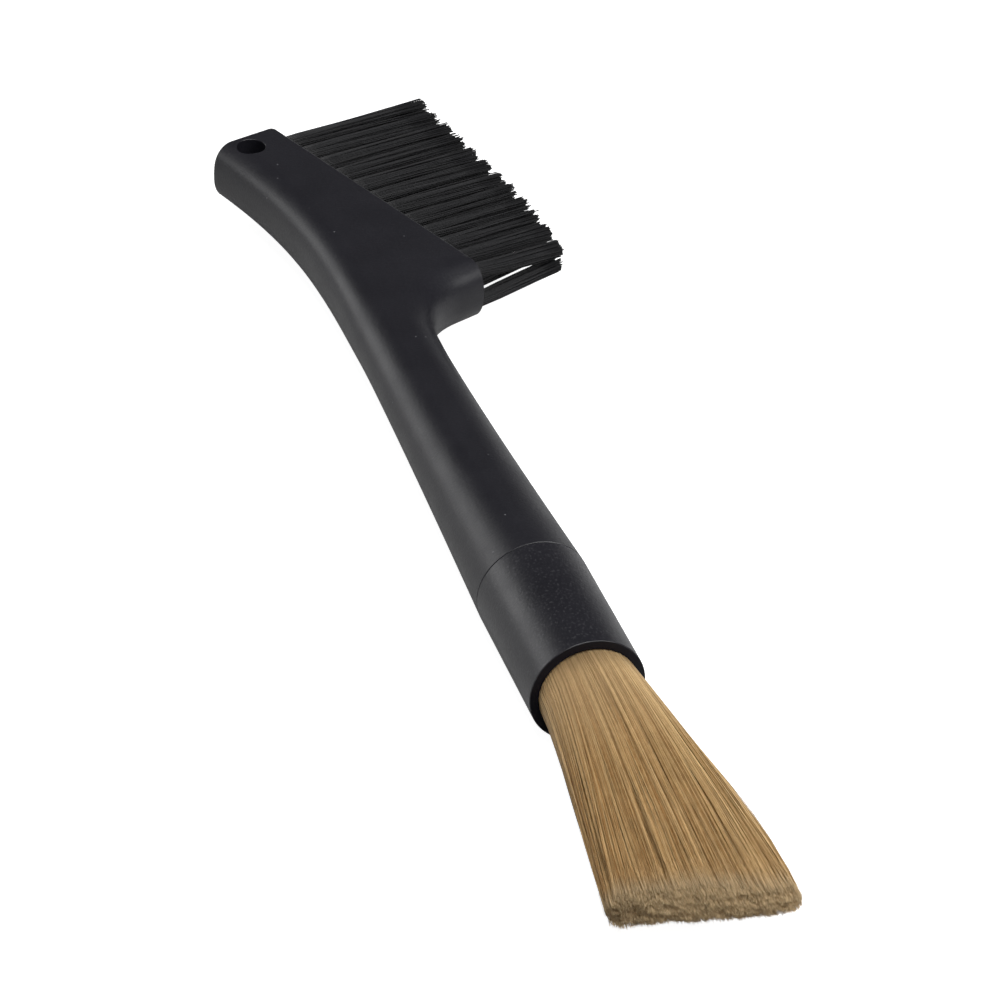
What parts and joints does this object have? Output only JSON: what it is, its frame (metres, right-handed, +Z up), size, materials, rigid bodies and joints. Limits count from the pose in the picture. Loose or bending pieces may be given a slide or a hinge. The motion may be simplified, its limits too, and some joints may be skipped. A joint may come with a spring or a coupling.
{
  "type": "coffee grinder brush",
  "caption": "Double-ended cleaning brush: a fan of soft blond bristles in a round collar at one end, stiff black nylon tufts on the edge of a flat wedge head with a hanging hole at the other.",
  "frame": {"origin": "middle of the whole brush's box in plan, at the level that its lowest side, the underside of the collar, rests on", "axes": "+X along the grip towards the blond bristles, +Y to the side that the nylon tufts point to, +Z up, square to the flat head"},
  "size_m": [0.2408, 0.054, 0.0188],
  "materials": {
    "black_plastic": "satin black moulded plastic with a fine grain",
    "black_nylon": "black nylon filament, faintly glossy along its length",
    "blond_fibre": "blond bristle fibre with paler split tips",
    "resin": "set amber resin",
    "steel": "flat steel strip, plain"
  },
  "bodies": {
    "root": {"handle": "black_plastic", "collar": "black_plastic", "resin_plug": "resin", "blond_bristles": "blond_fibre", "nylon_tuft_upper_01": "black_nylon", "nylon_tuft_upper_02": "black_nylon", "nylon_tuft_upper_03": "black_nylon", "nylon_tuft_upper_04": "black_nylon", "nylon_tuft_upper_05": "black_nylon", "nylon_tuft_upper_06": "black_nylon", "nylon_tuft_upper_07": "black_nylon", "nylon_tuft_upper_08": "black_nylon", "nylon_tuft_upper_09": "black_nylon", "nylon_tuft_upper_10": "black_nylon", "nylon_tuft_upper_11": "black_nylon", "nylon_tuft_upper_12": "black_nylon", "nylon_tuft_lower_01": "black_nylon", "nylon_tuft_lower_02": "black_nylon", "nylon_tuft_lower_03": "black_nylon", "nylon_tuft_lower_04": "black_nylon", "nylon_tuft_lower_05": "black_nylon", "nylon_tuft_lower_06": "black_nylon", "nylon_tuft_lower_07": "black_nylon", "nylon_tuft_lower_08": "black_nylon", "nylon_tuft_lower_09": "black_nylon", "nylon_tuft_lower_10": "black_nylon", "nylon_tuft_lower_11": "black_nylon", "nylon_tuft_lower_12": "black_nylon", "tuft_anchor_upper_01": "steel", "tuft_anchor_upper_02": "steel", "tuft_anchor_upper_03": "steel", "tuft_anchor_upper_04": "steel", "tuft_anchor_upper_05": "steel", "tuft_anchor_upper_06": "steel", "tuft_anchor_upper_07": "steel", "tuft_anchor_upper_08": "steel", "tuft_anchor_upper_09": "steel", "tuft_anchor_upper_10": "steel", "tuft_anchor_upper_11": "steel", "tuft_anchor_upper_12": "steel", "tuft_anchor_lower_01": "steel", "tuft_anchor_lower_02": "steel", "tuft_anchor_lower_03": "steel", "tuft_anchor_lower_04": "steel", "tuft_anchor_lower_05": "steel", "tuft_anchor_lower_06": "steel", "tuft_anchor_lower_07": "steel", "tuft_anchor_lower_08": "steel", "tuft_anchor_lower_09": "steel", "tuft_anchor_lower_10": "steel", "tuft_anchor_lower_11": "steel", "tuft_anchor_lower_12": "steel"}
  },
  "joints": []
}
